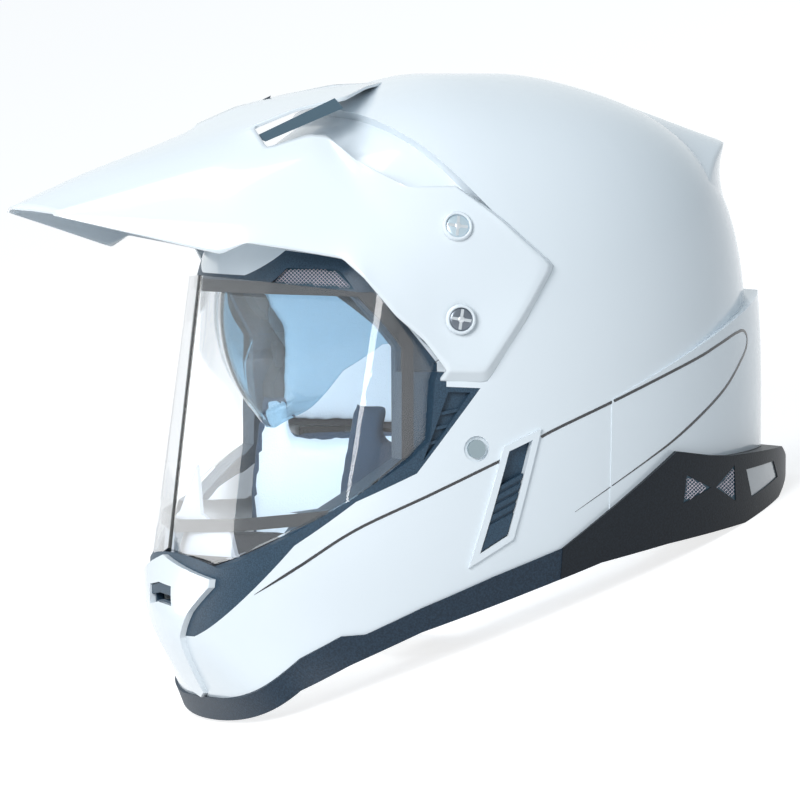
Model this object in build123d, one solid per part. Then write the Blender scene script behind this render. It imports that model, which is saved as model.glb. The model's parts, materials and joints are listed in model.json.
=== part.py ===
from build123d import *
from functools import lru_cache
import math
import os

os.makedirs("parts", exist_ok=True)

# Dual sport helmet. It is shaped as worn, with +X to the wearer's left, -Y to the front and
# +Z up, and each piece is then tipped nose up onto its lower rim, as it stands on a table.
# Driving sizes, in millimetres
half_width = 125.0
half_length = 156.0
crown_height = 163.0
shell_wall = 4.0
foam_inset = 33.0
pad_inset = 41.0
mid_depth = 25.0
front_reach = 150.0
back_reach = 152.0
soft_gap = 0.4
overrun = 60.0

# Recess under the peak and the sweep of the visor about its pivot
recess_depth = 6.0
recess_squeeze = 13.0
pivot_place_shares = (-0.103, 0.270)
sweep_from = -20.0
sweep_to = 64.0
sector_margin = 5.0
hollow_depth = 3.0
hollow_squeeze = 15.0
bowl_flat = 111.0
bowl_shares = [(0.0, 0.982), (0.125, 0.948), (0.25, 0.905), (0.513, 0.813), (0.72, 0.633), (0.86, 0.5),
               (0.95, 0.39)]
bowl_radius = 90.0
bowl_rim = 24.0

# Visor shield
visor_wall = 2.2
visor_arm = 115.2
visor_room = 1.5
visor_opening = 40.0
visor_top_shares = [(0.0, -0.684), (0.456, -0.578), (0.76, -0.423)]
visor_bottom_shares = [(0.0, -0.806), (0.456, -0.724), (0.80, -0.564)]
visor_top_level = 0.430
visor_bottom_level = -0.552
visor_bend = 26.0
arm_eye = 15.0
hub_radius = 8.0
hub_gap = 0.3

# Peak and its side wings
peak_wall = 3.0
wing_gap = 1.0
peak_clearance = 27.0
wing_wall = 3.6

# Sun visor and its slider
sun_wall = 2.0
sun_inset = 10.0
sun_room = 1.6
sun_flat = 92.0

# Eye port frame, trims and cushions
seal_wall = 0.9
seal_gap = 0.8
seal_width = 6.0
trim_wall = 1.6
trim_flange = 3.0
screw_radius = 5.6
screw_slot = 1.4
rivet_radius = 4.6
strap_width = 24.0
strap_wall = 2.2

# Outlines seen from the side, as shares of half_length and crown_height
rim_shares = [(-0.667, -1.0), (-0.532, -0.859), (-0.397, -0.782), (-0.186, -0.681), (0.16, -0.558),
              (0.397, -0.475), (0.638, -0.423), (0.994, -0.362), (1.128, -0.307)]
trim_top_shares = [(-0.9, -0.93), (-0.66, -0.896), (-0.532, -0.761), (-0.423, -0.693), (-0.353, -0.687),
                   (-0.192, -0.607), (0.032, -0.512), (0.256, -0.429)]
diffuser_top_shares = [(0.256, -0.429), (0.66, -0.141), (0.801, -0.157), (0.885, -0.16), (1.3, -0.13)]
frame_shares = [(-0.9, 0.393), (-0.603, 0.393), (-0.526, 0.472), (-0.397, 0.451), (-0.141, 0.135),
                (-0.141, 0.066), (-0.032, 0.061), (-0.135, -0.071), (-0.231, -0.196), (-0.41, -0.282),
                (-0.571, -0.417), (-0.763, -0.706), (-0.9, -0.706)]
port_shares = [(-1.0, 0.344), (-0.385, 0.337), (-0.269, 0.184), (-0.269, -0.153), (-0.481, -0.307),
               (-1.0, -0.40)]
wing_shares = [(-0.103, 0.684), (-0.022, 0.669), (0.059, 0.591), (0.199, 0.477), (0.234, 0.448),
               (0.231, 0.408), (0.003, 0.063), (-0.173, 0.074), (-0.308, 0.245), (-0.429, 0.442)]
visor_shares = [(-0.385, 0.35), (-1.0, 0.43), (-1.0, -0.49), (-0.80, -0.435), (-0.737, -0.482),
                (-0.256, -0.147), (-0.199, -0.092), (-0.186, 0.086), (-0.167, 0.135)]
recess_shares = [(-1.2, 1.2), (-0.35, 1.2), (-0.295, 0.926), (-0.141, 0.791), (-0.064, 0.706),
                 (-0.022, 0.656), (0.154, 0.46), (0.16, 0.417), (-0.03, 0.11), (-0.3, 0.11),
                 (-1.2, 0.3)]
hollow_shares = [(-1.2, 1.2), (-0.27, 1.2), (-0.25, 0.95), (-0.1, 0.83), (0.0, 0.73), (0.19, 0.5),
                 (0.21, 0.38), (0.03, 0.05), (-0.05, -0.2), (-0.3, -0.32), (-1.2, -0.32)]
spoiler_shares = [(0.60, 0.90), (0.622, 0.955), (0.70, 1.0), (1.2, 1.0), (1.103, 0.767),
                  (1.058, 0.699), (0.94, 0.745), (0.78, 0.80)]
slider_frame_shares = [(0.17, -0.064), (0.045, -0.117), (-0.054, -0.485), (0.087, -0.399)]

# Horizontal sections: height, half width, front and back, as shares of the reaches
section_shares = [
    (1.0, 0.16, 0.10, 0.18),
    (0.96, 0.41, 0.28, 0.42),
    (0.86, 0.67, 0.50, 0.69),
    (0.68, 0.87, 0.705, 0.89),
    (0.40, 0.98, 0.845, 0.98),
    (0.05, 1.0, 0.903, 1.0),
    (-0.30, 0.975, 0.955, 1.0),
    (-0.52, 0.93, 1.0, 1.0),
    (-0.74, 0.86, 0.965, 0.98),
    (-1.08, 0.74, 0.875, 0.93),
]
front_fullness_shares = (0.70, 0.70)
chin_fullness_shares = (0.52, 0.74)
back_fullness_shares = (0.62, 0.60)


def in_side(shares):
    """Points of a side outline in millimetres."""
    return [(y * half_length, z * crown_height) for y, z in shares]


pivot_y, pivot_z = in_side([pivot_place_shares])[0]
rim_line = in_side(rim_shares)
trim_top = in_side(trim_top_shares)
diffuser_top = in_side(diffuser_top_shares)


def side_prism(outline, near, far):
    """A side outline carried across the helmet from X near to X far."""
    face = make_face(Plane.YZ.offset(near) * Polyline(*outline, close=True))
    return extrude(face, amount=far - near, dir=(1, 0, 0))


def through(outline):
    """A side outline carried right through the helmet."""
    return side_prism(outline, -half_width - overrun, half_width + overrun)


def side_rod(radius, near, far, y, z):
    """A round rod along X between two places."""
    rod = Cylinder(radius, far - near, rotation=(0, 90, 0))
    return Pos((near + far) / 2, y, z) * rod


def section(height, width, front, back, inset, squeeze, tail):
    """One egg shaped horizontal section of the helmet."""
    level = height * (crown_height - inset) if height > 0 else height * crown_height
    front_y = mid_depth - front * (front_reach - inset)
    back_y = mid_depth + back * (back_reach - inset + tail)
    across, along = front_fullness_shares if height > chin_level else chin_fullness_shares
    back_across, back_along = back_fullness_shares
    edges = []
    for half in (width * (half_width - squeeze), width * (squeeze - half_width)):
        edges += [
            Bezier((0, front_y, level), (across * half, front_y, level),
                   (half, mid_depth - along * (mid_depth - front_y), level), (half, mid_depth, level)),
            Bezier((half, mid_depth, level), (half, mid_depth + back_along * (back_y - mid_depth), level),
                   (back_across * half, back_y, level), (0, back_y, level)),
        ]
    return make_face(edges)


chin_level = -0.45


@lru_cache(maxsize=None)
def form(inset, squeeze=None, tail=0):
    """The helmet's solid form, drawn in from its outer surface by inset."""
    squeeze = inset if squeeze is None else squeeze
    return loft([section(*row, inset, squeeze, tail) for row in section_shares])


@lru_cache(maxsize=None)
def bowl(inset, flat=None):
    """The round seat that the visor sweeps over, turned about the pivot."""
    flat = bowl_flat - inset if flat is None else flat
    right = [(flat * x, (bowl_radius - inset) * r) for x, r in bowl_shares]
    left = [(-x, r) for x, r in reversed(right[1:])]
    rim = bowl_rim - inset
    profile = Spline(*left, *right)
    wall = Polyline(right[-1], (flat, rim), (flat, 0), (-flat, 0), (-flat, rim), left[0])
    face = make_face([profile, wall])
    return Pos(0, pivot_y, pivot_z) * revolve(face, axis=Axis.X)


def sweep_sector(lowest, highest):
    """The wedge in front of the pivot that the visor passes through."""
    reach = 2 * half_length
    rays = [(pivot_y - reach * math.cos(math.radians(a)), pivot_z + reach * math.sin(math.radians(a)))
            for a in (lowest, (lowest + highest) / 2, highest)]
    return through([(pivot_y, pivot_z)] + rays)


def visor_block(inset):
    """The space inside the visor, drawn in from its outer surface by inset."""
    faces = []
    for shares, level in ((visor_bottom_shares, visor_bottom_level), (visor_top_shares, visor_top_level)):
        corners = [(x * half_width, y * half_length) for x, y in shares]
        side_y = corners[-1][1] + (visor_arm - corners[-1][0])
        right = corners[1:] + [(visor_arm, side_y), (visor_arm, half_length)]
        left = [(-x, y) for x, y in reversed(right)]
        loop = left + [corners[0]] + right
        wire = FilletPolyline(*loop, radius=[visor_bend] * 3 + [crease_bend] + [visor_bend] * 3)
        face = make_face([wire, Line(loop[-1], loop[0])])
        if inset:
            face = offset(face, amount=-inset)
        faces.append(Pos(0, 0, level * crown_height) * face)
    return loft(faces, ruled=True)


crease_bend = 8.0
visor_outline = in_side(visor_shares)


def visor_profile(grow):
    """The visor's side outline with its arm and eye, grown all round."""
    sheet = make_face(Polyline(*visor_outline, close=True))
    arm = [visor_outline[0], visor_outline[-1], (pivot_y, pivot_z - arm_eye), (pivot_y, pivot_z + arm_eye)]
    sheet = sheet + make_face(Polyline(*arm, close=True)) + Pos(pivot_y, pivot_z) * Circle(arm_eye)
    if grow:
        sheet = offset(sheet, amount=grow)
    width = half_width + overrun
    return extrude(Plane.YZ.offset(-width) * sheet, amount=2 * width, dir=(1, 0, 0))


def carved():
    """The form with the recess under the peak and the seat of the visor cut from it."""
    body = form(0)
    floor = form(recess_depth, recess_squeeze)
    body -= through(in_side(recess_shares)) - floor
    body -= sweep_sector(sweep_from, sweep_to) - bowl(0)
    body -= visor_profile(visor_room) - visor_block(visor_wall + visor_room)
    return body


@lru_cache(maxsize=None)
def hollow(inset):
    """The space inside a wall of the given thickness, kept clear of the visor's seat."""
    body = form(inset)
    floor = form(inset + hollow_depth, inset + hollow_squeeze)
    body -= through(in_side(hollow_shares)) - floor
    body -= sweep_sector(sweep_from - sector_margin, sweep_to + sector_margin) - bowl(inset)
    return body


def layer(prism, high, low):
    """What a prism holds between two nested bodies."""
    return (prism & high) - low


def front_prism(outline, near, far):
    """A front outline of X and Z carried along Y from near to far."""
    face = make_face(Plane.XZ.offset(-near) * Polyline(*outline, close=True))
    return extrude(face, amount=near - far, dir=(0, -1, 0))


def plan_prism(outline, low, high):
    """A plan outline of X and Y carried up from low to high."""
    face = make_face(Plane.XY.offset(low) * Polyline(*outline, close=True))
    return extrude(face, amount=high - low, dir=(0, 0, 1))


def mirrored(points):
    """One side's points, from front to back, closed round by their mirror images."""
    return points + [(-x, y) for x, y in reversed(points) if x > 0]


def both_sides(piece):
    """A piece of the left side with its twin on the right."""
    return piece + mirror(piece, about=Plane.YZ)


def skin_x(body, y, z):
    """How far out a body's left side lies at a place in the side view."""
    chord = Line((0, y, z), (2 * half_width, y, z)) & body
    return max(vertex.X for vertex in chord.vertices())


# Solids that several pieces share
outer = carved()
inner = hollow(shell_wall)
foam_inner = form(foam_inset)
far_y = 2 * half_length
far_z = 2 * crown_height
frame_outline = in_side(frame_shares)
port_outline = in_side(port_shares)
port = through(port_outline)
below_shell = through(trim_top + diffuser_top[1:] + [(diffuser_top[-1][0], -far_z), (trim_top[0][0], -far_z)])
above_rim = [(y, z + trim_flange) for y, z in rim_line]
inside_rim = through([(-far_y, above_rim[0][1])] + above_rim + [(far_y, above_rim[-1][1])]
                     + [(far_y, far_z), (-far_y, far_z)])

# Screws that hold the peak, the lower pair on the visor's pivot
upper_screw_shares = (-0.096, 0.552)
boss_radius = 9.0
head_recess = 2.0
head_thick = 2.6
shank_radius = 2.5
shank_length = 13.0
wing_outer = form(-wing_gap - wing_wall)
wing_inner = form(-wing_gap)
screw_places = [in_side([upper_screw_shares])[0], (pivot_y, pivot_z)]


def make_shell():
    """The moulded shell with its lower rear bulge and the slot for the slider."""
    shell = outer - below_shell - through(frame_outline) - inner
    bulge = through(in_side(bulge_shares)) & form(0, 0, bulge_reach)
    shell += bulge - below_shell - form(shell_wall)
    shell -= side_prism(slot_outline, half_width / 2, 2 * half_width)
    for y, z in screw_places:
        shell -= side_rod(shank_radius, -half_width, half_width, y, z)
    shell -= side_rod(rivet_hole, -2 * half_width, 2 * half_width, *rivet_place)
    floor = skin_x(outer, *rivet_place) - rivet_recess
    return shell - both_sides(side_rod(rivet_ring, floor, 2 * half_width, *rivet_place))


bulge_reach = 8.0
bulge_shares = [(0.42, 0.02), (0.90, 0.24), (1.12, 0.335), (1.3, 0.325), (1.3, -0.5), (0.42, -0.5)]
slot_border = 3.2
rivet_hole = 2.4
rivet_recess = 1.4
rivet_ring = 6.4
rivet_place = in_side([(-0.042, -0.123)])[0]
slot_frame = in_side(slider_frame_shares)


def drawn_in(outline, amount):
    """A side outline's corners drawn in, or out, by an amount."""
    face = offset(make_face(Polyline(*outline, close=True)), amount=-amount, kind=Kind.INTERSECTION)
    wire = face.faces()[0].outer_wire()
    return [(v.X, v.Y) for v in wire.order_edges() for v in [v @ 0]]


slot_outline = drawn_in(slot_frame, slot_border)

# Spoiler glued over the back of the crown
spoiler_rise = 2.0
spoiler_reach = 16.0


def make_spoiler():
    return layer(through(in_side(spoiler_shares)), form(-spoiler_rise, -spoiler_rise, spoiler_reach), outer)


# Peak: sections across it from the front to the back, in shares of half_length for the
# place, half_width across and crown_height up: centre, ridge, shoulder and lower edge
peak_stations = [
    (-1.40, 0.594, (0.16, 0.584), (0.19, 0.574), (0.20, 0.562)),
    (-1.25, 0.624, (0.22, 0.604), (0.255, 0.592), (0.27, 0.575)),
    (-0.81, 0.770, (0.40, 0.722), (0.54, 0.61), (0.63, 0.472)),
    (-0.45, 0.890, (0.48, 0.822), (0.70, 0.718), (0.79, 0.452)),
    (-0.03, 0.976, (0.50, 0.885), (0.86, 0.73), (0.95, 0.44)),
]
peak_plan_shares = [(0.0, -1.321), (0.264, -1.25), (0.80, -0.80), (1.1, -0.35), (0.84, -0.34), (0.68, -0.378),
                    (0.496, -0.417), (0.384, -0.295), (0.0, -0.055)]
peak_notch_shares = [(-0.83, 0.40), (-0.823, 0.46), (-0.74, 0.50), (-0.60, 0.48), (-0.43, 0.452),
                     (-0.43, 0.30)]
slot_plan_shares = [(0.31, -0.60), (0.36, -0.545), (0.40, -0.30), (0.31, -0.33)]
wing_top_shares = [(-0.42, 0.70)]


def peak_body(inset, drop):
    """The peak's body as a loft through its sections, drawn in by inset."""
    faces = []
    for place, centre, ridge, shoulder, lower in peak_stations:
        points = [(0, centre * crown_height - inset)]
        for across, up in (ridge, shoulder):
            points.append((across * half_width - inset * lean, up * crown_height - inset))
        points.append((lower[0] * half_width - inset, lower[1] * crown_height - drop))
        loop = points + [(-x, z) for x, z in reversed(points[1:])]
        faces.append(make_face(Plane.XZ.offset(-place * half_length) * Polyline(*loop, close=True)))
    return loft(faces, ruled=True)


lean = 0.6


def make_peak():
    """The moulded peak with its wings, bevelled round their edges, and its fixing bosses."""
    plan = mirrored([(x * half_width, y * half_length) for x, y in peak_plan_shares])
    room = plan_prism(plan, 0, far_z)
    front = Pos(0, peak_wall, 0) * room
    body = (peak_body(0, 0) & room) - (peak_body(peak_wall, overrun) & front)
    body -= through(in_side(peak_notch_shares))
    outline = in_side(wing_shares + wing_top_shares)
    wing = layer(side_prism(outline, half_width / 2, 2 * half_width), wing_outer, wing_inner)
    for place, (y, z) in enumerate(screw_places):
        seat = skin_x(wing_outer, y, z) - head_recess - head_thick
        low = seat - overrun if place == 0 else hub_top
        wing += side_rod(boss_radius if place == 0 else hub_radius, low, seat, y, z) - outer
        wing -= side_rod(screw_radius + hub_gap, seat, 2 * half_width, y, z)
        wing -= side_rod(shank_radius, 0, 2 * half_width, y, z)
    body -= outer
    swing = sweep_sector(sweep_from, visor_opening + 2 * sector_margin) & bowl(-peak_clearance, visor_arm + hub_gap)
    body -= swing
    wing -= swing
    peak = body + wing + mirror(wing, about=Plane.YZ)
    slot = [(x * half_width, y * half_length) for x, y in slot_plan_shares]
    cutter = plan_prism(slot, crown_height / 2, far_z)
    return peak - both_sides(cutter)


plate_radius = 17.0
plate_top = 112.5
hub_top = 116.2


def make_pivot_plates():
    """The plate and hub on each side that the visor turns on."""
    plate = side_rod(plate_radius, half_width / 2, plate_top, pivot_y, pivot_z) - outer
    plate += side_rod(hub_radius, plate_top, hub_top, pivot_y, pivot_z)
    plate -= side_rod(shank_radius, 0, half_width, pivot_y, pivot_z)
    return both_sides(plate)


def make_screws(place):
    """One pair of cross-head screws with their shanks."""
    y, z = screw_places[place]
    top = skin_x(wing_outer, y, z) - head_recess
    screw = side_rod(screw_radius, top - head_thick, top, y, z)
    screw += side_rod(shank_radius, top - head_thick - shank_length, top - head_thick, y, z)
    for turn in (45, 135):
        slot = Box(head_thick, 2 * screw_radius - screw_slot, screw_slot)
        screw -= Pos(top, y, z) * Rot(turn, 0, 0) * slot
    return both_sides(screw)


def make_visor():
    """The clear shield with its two arms."""
    visor = (visor_block(0) - visor_block(visor_wall)) & visor_profile(0)
    return visor - side_rod(hub_radius + hub_gap, -half_width, half_width, pivot_y, pivot_z)


# Frame round the eye port, its vents and its seal
brow_vent_shares = [(-0.571, 0.372), (-0.532, 0.42), (-0.414, 0.416), (-0.38, 0.358)]
side_vent_shares = [(-0.135, 0.050), (-0.064, 0.048), (-0.152, -0.078), (-0.212, -0.158)]
mesh_depth = 2.4
mesh_wall = 1.0
louvre_count = 4
louvre_wall = 1.6
louvre_rise = 30.0
louvre_depth = 3.0


def vent_prism(shares, near):
    """A vent's side outline carried out from near the middle on the left side."""
    return side_prism(in_side(shares), near, 2 * half_width)


def make_frame():
    frame = layer(through(frame_outline) - port, outer, inner)
    for shares in (brow_vent_shares, side_vent_shares):
        frame -= both_sides(vent_prism(shares, half_width / 5))
    window = front_prism(mirrored(in_front(vent_window_shares)), -half_length / 2, -half_length)
    return frame - window


def make_brow_mesh():
    mesh = layer(vent_prism(brow_vent_shares, half_width / 5), bowl(mesh_depth), bowl(mesh_depth + mesh_wall))
    return both_sides(mesh & form(mesh_depth))


def make_side_vents():
    """Sloping louvres across each side vent, on a backing plate."""
    opening = vent_prism(side_vent_shares, half_width / 2)
    depth = form(louvre_depth)
    vent = layer(opening, depth, inner)
    points = in_side(side_vent_shares)
    low, high = min(z for y, z in points), max(z for y, z in points)
    for place in range(louvre_count):
        level = low + (place + 1) * (high - low) / (louvre_count + 1)
        slat = [(-half_length, level - louvre_rise), (half_length, level + louvre_rise),
                (half_length, level + louvre_rise + louvre_wall), (-half_length, level - louvre_rise + louvre_wall)]
        vent += layer(opening & through(slat), form(mesh_wall), depth)
    return both_sides(vent)


def make_seal():
    """The soft ring round the port that the visor closes on."""
    ring = visor_block(visor_wall + seal_gap) - visor_block(visor_wall + visor_room + seal_wall)
    face = make_face(Polyline(*port_outline, close=True))
    wide = extrude(Plane.YZ.offset(-2 * half_width) * offset(face, amount=seal_width), amount=4 * half_width,
                   dir=(1, 0, 0))
    ring = (ring & wide & visor_profile(0)) - through(port_outline)
    return ring - outer - side_prism([(seal_back * half_length, -far_z), (far_y, -far_z), (far_y, far_z),
                                      (seal_back * half_length, far_z)], -far_y, far_y)


seal_back = -0.23


# Chin vent cover, seen from the front, as shares of half_width and crown_height
cover_shares = [(0.0, -0.462), (0.376, -0.527), (0.368, -0.552), (0.232, -0.632), (0.132, -0.712),
(0.06, -0.885), (0.0, -0.90)]
window_shares = [(0.0, -0.545), (0.12, -0.555), (0.12, -0.615), (0.0, -0.605)]
vent_window_shares = [(0.0, -0.56), (0.10, -0.568), (0.10, -0.605), (0.0, -0.598)]
cover_rise = 3.0
shutter_shares = [(0.0, -0.547), (0.116, -0.557), (0.116, -0.585), (0.0, -0.577)]


def in_front(shares):
    """Points of a front outline in millimetres."""
    return [(x * half_width, z * crown_height) for x, z in shares]


def chin_layer(shares, high, low):
    """A front outline filled between two depths under or over the chin's surface."""
    prism = front_prism(mirrored(in_front(shares)), -half_length / 2, -half_length)
    return layer(prism, form(high), form(low))


def make_cover():
    cover = chin_layer(cover_shares, -cover_rise, 0)
    window = front_prism(mirrored(in_front(window_shares)), -half_length / 2, -half_length)
    return cover - window


def make_shutter():
    return chin_layer(shutter_shares, -cover_rise + 1, -shutter_gap)


shutter_gap = 0.5

# Parts behind the chin: foam, and the fin that keeps breath off the visor
guard_shares = [(0.0, -0.19), (0.05, -0.25), (0.12, -0.335), (0.36, -0.385), (0.40, -0.46), (0.0, -0.46)]
guard_depth = 7.5
guard_wall = 1.8
chin_foam_inset = 24.0
chin_foam_shares = [(-1.2, -0.405), (-0.55, -0.385), (-0.43, -0.43), (-0.43, -1.2), (-1.2, -1.2)]


def make_guard():
    return chin_layer(guard_shares, guard_depth, guard_depth + guard_wall)


def make_chin_foam():
    room = through(in_side(chin_foam_shares)) & inside_rim
    return layer(room, form(guard_depth + guard_wall + soft_gap), form(chin_foam_inset))


# Foam liner, comfort liner and cushions
face_cut_shares = [(-1.3, 0.37), (-0.40, 0.365), (-0.23, 0.20), (-0.23, -0.086), (0.22, -0.11), (0.22, -1.3),
                   (-1.3, -1.3)]
cheek_shares = [(-0.365, 0.025), (-0.219, 0.035), (-0.219, -0.083), (0.21, -0.103), (0.205, -0.46),
                (-0.05, -0.50), (-0.32, -0.65), (-0.40, -0.58), (-0.41, -0.26)]
cheek_outer = 35.0
cheek_thick = 36.0
cheek_crown = 7.0
neck_shares = [(0.23, -0.13), (0.23, -0.48), (1.3, -0.30), (1.3, -0.10)]
neck_inset = 47.0
liner_shares = [(-1.3, 0.385), (-0.39, 0.38), (-0.215, 0.205), (-0.215, -0.08), (0.235, -0.10), (1.3, -0.08),
                (1.3, 1.3), (-1.3, 1.3)]


def make_eps():
    """The foam liner, with the pocket that the sun visor slides up into."""
    foam = (hollow(shell_wall + soft_gap) & inside_rim) - through(in_side(face_cut_shares)) - foam_inner
    foam -= sun_pocket()
    return foam - side_rod(pocket_hub, -half_width, half_width, pivot_y, pivot_z)


pocket_low = 62.0
pocket_high = 98.0
pocket_hub = 26.0


def sun_pocket():
    """The room in front of the pivot that the sun visor swings up through."""
    return sweep_sector(-pocket_low, pocket_high) - bowl(sun_inset + sun_wall + sun_room, sun_flat)


def make_liner():
    liner = layer(through(in_side(liner_shares)), form(foam_inset + soft_gap), form(pad_inset))
    return liner - sun_pocket()


def make_neck_roll():
    room = through(in_side(neck_shares)) & inside_rim
    return layer(room, form(foam_inset + soft_gap), form(neck_inset))


def make_cheek_pad():
    """A crowned cushion: three shrinking outlines lofted towards the face."""
    outline = make_face(Polyline(*in_side(cheek_shares), close=True))
    skin = form(cheek_outer)
    back = half_width - cheek_outer
    pad = extrude(Plane.YZ.offset(back - cheek_thick * cheek_full) * outline, amount=cheek_thick, dir=(1, 0, 0))
    top = offset(outline, amount=-cheek_crown, kind=Kind.INTERSECTION)
    faces = [Plane.YZ.offset(back - cheek_thick * cheek_full) * outline,
             Plane.YZ.offset(back - cheek_thick) * top]
    pad += loft(faces, ruled=True)
    return pad & skin


cheek_full = 0.75

# Sun visor and its slider on the left side
sun_shares = [(-0.103, 0.34), (-0.66, 0.49), (-0.85, 0.42), (-0.85, -0.085), (-0.442, -0.078), (-0.365, 0.107),
              (-0.28, 0.19), (-0.103, 0.20)]
pin_radius = 4.0
pin_flange = 9.0
pin_flange_wall = 1.2


def make_sun_visor():
    room = through(in_side(sun_shares))
    visor = layer(room, bowl(sun_inset, sun_flat + sun_wall), bowl(sun_inset + sun_wall, sun_flat))
    visor += side_eye()
    return visor - side_rod(pin_radius + hub_gap, -half_width, half_width, pivot_y, pivot_z)


def side_eye():
    """The round eye at the end of each of the sun visor's arms."""
    return both_sides(side_rod(pin_flange, sun_flat, sun_flat + sun_wall, pivot_y, pivot_z))


def make_sun_pins():
    """The pin on each side that the sun visor turns on, fixed to the shell."""
    top = sun_flat + sun_wall
    pin = side_rod(pin_radius, sun_flat - 2 * pin_flange_wall, top + overrun, pivot_y, pivot_z)
    pin += side_rod(pin_flange, top + hub_gap, top + overrun, pivot_y, pivot_z)
    low = sun_flat - hub_gap
    pin += side_rod(pin_flange, low - pin_flange_wall, low, pivot_y, pivot_z)
    pin = pin & inner
    pin -= side_rod(shank_radius, sun_flat + sun_wall + pin_flange_wall, 2 * half_width, pivot_y, pivot_z)
    return both_sides(pin)


bezel_rise = 1.4
slider_share = 0.66
slider_play = 0.5
slider_clear = 1.2
track_depth = 3.0
track_wall = 1.0


def make_bezel():
    ring = side_prism(slot_frame, half_width / 2, 2 * half_width)
    ring -= side_prism(slot_outline, half_width / 2, 2 * half_width)
    return layer(ring, form(-bezel_rise), form(0))


def make_track():
    room = side_prism(slot_outline, half_width / 2, 2 * half_width)
    return layer(room, form(track_depth), form(track_depth + track_wall))


def make_slider():
    """The thumb slider, with raised grip ribs."""
    inside = drawn_in(slot_frame, slot_border + slider_play)
    top = sorted(inside, key=lambda p: -p[1])[:2]
    low = sorted(inside, key=lambda p: -p[1])[2:]
    top.sort()
    low.sort()
    ends = [(a[0] + (b[0] - a[0]) * slider_share, a[1] + (b[1] - a[1]) * slider_share) for a, b in zip(low, top)]
    outline = [low[0], ends[0], ends[1], low[1]]
    room = side_prism(outline, half_width / 2, 2 * half_width)
    slider = layer(room, form(-bezel_rise / 2), form(track_depth - slider_clear))
    for rib in range(rib_count):
        place = low[1][1] + (ends[1][1] - low[1][1]) * (rib + 1) / (rib_count + 2)
        band = [(-half_length, place - rib_slope), (half_length, place + rib_slope),
                (half_length, place + rib_slope + rib_wall), (-half_length, place - rib_slope + rib_wall)]
        slider -= side_prism(band, 0, 2 * half_width) - form(rib_depth)
    return slider


rib_count = 5
rib_slope = 80.0
rib_wall = 1.6
rib_depth = 0.2

# Trim round the lower rim, and the diffuser round its back
trim_inset = 2.4
flange_inset = 26.0
trim_end = 0.256
diffuser_rise = 2.0
diffuser_reach = 20.0
tip_shares = [(1.16, -0.143), (1.262, -0.202)]
mesh_shares = [[(0.70, -0.215), (0.80, -0.255), (0.69, -0.30)], [(0.90, -0.19), (0.82, -0.255), (0.91, -0.30)]]
reflector_shares = [(0.955, -0.205), (1.10, -0.185), (1.13, -0.235), (0.985, -0.29)]
insert_depth = 1.2

rim_zone = through([(trim_top[0][0], rim_line[0][1])] + rim_line + in_side(tip_shares[::-1])
                   + diffuser_top[-2::-1] + trim_top[-2::-1])


def front_of(share):
    """Everything in front of a place along the helmet."""
    return Pos(0, share * half_length - far_y, 0) * Box(2 * far_y, 2 * far_y, 2 * far_y)


def make_trim():
    zone = rim_zone & front_of(trim_end)
    return layer(zone, form(-trim_wall), form(flange_inset)) - (inside_rim & form(trim_inset))


def diffuser_skin(depth):
    """The diffuser's outer surface, or one let into it by a depth."""
    return form(depth - diffuser_rise, depth - diffuser_rise, diffuser_reach - depth)


def make_diffuser():
    zone = rim_zone - front_of(trim_end)
    diffuser = layer(zone, diffuser_skin(0), form(flange_inset))
    diffuser -= inside_rim & form(trim_inset)
    for shares in mesh_shares + [reflector_shares]:
        diffuser -= both_sides(side_prism(in_side(shares), half_width / 8, 2 * half_width) - diffuser_skin(insert_depth))
    return diffuser


def insert(shares):
    """A shallow insert let into the diffuser's left side."""
    room = side_prism(in_side(shares), half_width / 8, 2 * half_width)
    return layer(room, diffuser_skin(insert_depth / 3), diffuser_skin(insert_depth))


# Chin strap, its rivets and the ratchet buckle
strap_places_shares = [(0.745, -0.10), (0.745, -0.54), (0.60, -0.60), (0.2425, -0.665)]
strap_back_share = -0.042
strap_bend = 12.0
buckle_half = 30.0
buckle_height = 7.0
lever_length = 34.0
tongue_length = 26.0
rivet_head = 1.8
rivet_inner = 3.2


def make_strap(side):
    """One half of the strap, from its rivet down the cheek and across under the chin."""
    points = [(side * x * half_width, z * crown_height) for x, z in strap_places_shares]
    path = FilletPolyline(*points, radius=strap_bend)
    ribbon = trace(path, line_width=strap_wall)
    strap = extrude(Plane.XZ * ribbon, amount=strap_width / 2, both=True)
    return Pos(0, rivet_place[0], 0) * strap


def make_rivets():
    y, z = rivet_place
    face = skin_x(outer, y, z) - rivet_recess
    inside = strap_places_shares[0][0] * half_width
    rivet = side_rod(rivet_radius, face, face + rivet_head, y, z)
    rivet += side_rod(rivet_hole, inside + strap_wall, face, y, z)
    rivet += side_rod(rivet_inner, inside + strap_wall / 2, inside + strap_wall / 2 + rivet_head, y, z)
    return both_sides(rivet)


level_share = -0.665
hinge_share = 0.14


def make_buckle_base():
    """The open box that the tongue slides into."""
    level = level_share * crown_height
    base = Box(2 * buckle_half, strap_width, buckle_height)
    base -= Pos(0, 0, strap_wall) * Box(3 * buckle_half, strap_width - 2 * strap_wall, buckle_height)
    return Pos(0, rivet_place[0], level) * base


def make_buckle_lever():
    level = level_share * crown_height + buckle_height / 2 - strap_wall / 2 + slider_play
    lever = Box(lever_length, strap_width - 2 * strap_wall - 2 * slider_play, strap_wall)
    lever = Pos(-lever_length / 2, 0, 0) * lever
    pin = Cylinder(strap_wall / 2, strap_width - 2 * strap_wall - 2 * slider_play, rotation=(90, 0, 0))
    return Pos(hinge_share * half_width, rivet_place[0], level) * (lever + pin)


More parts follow.
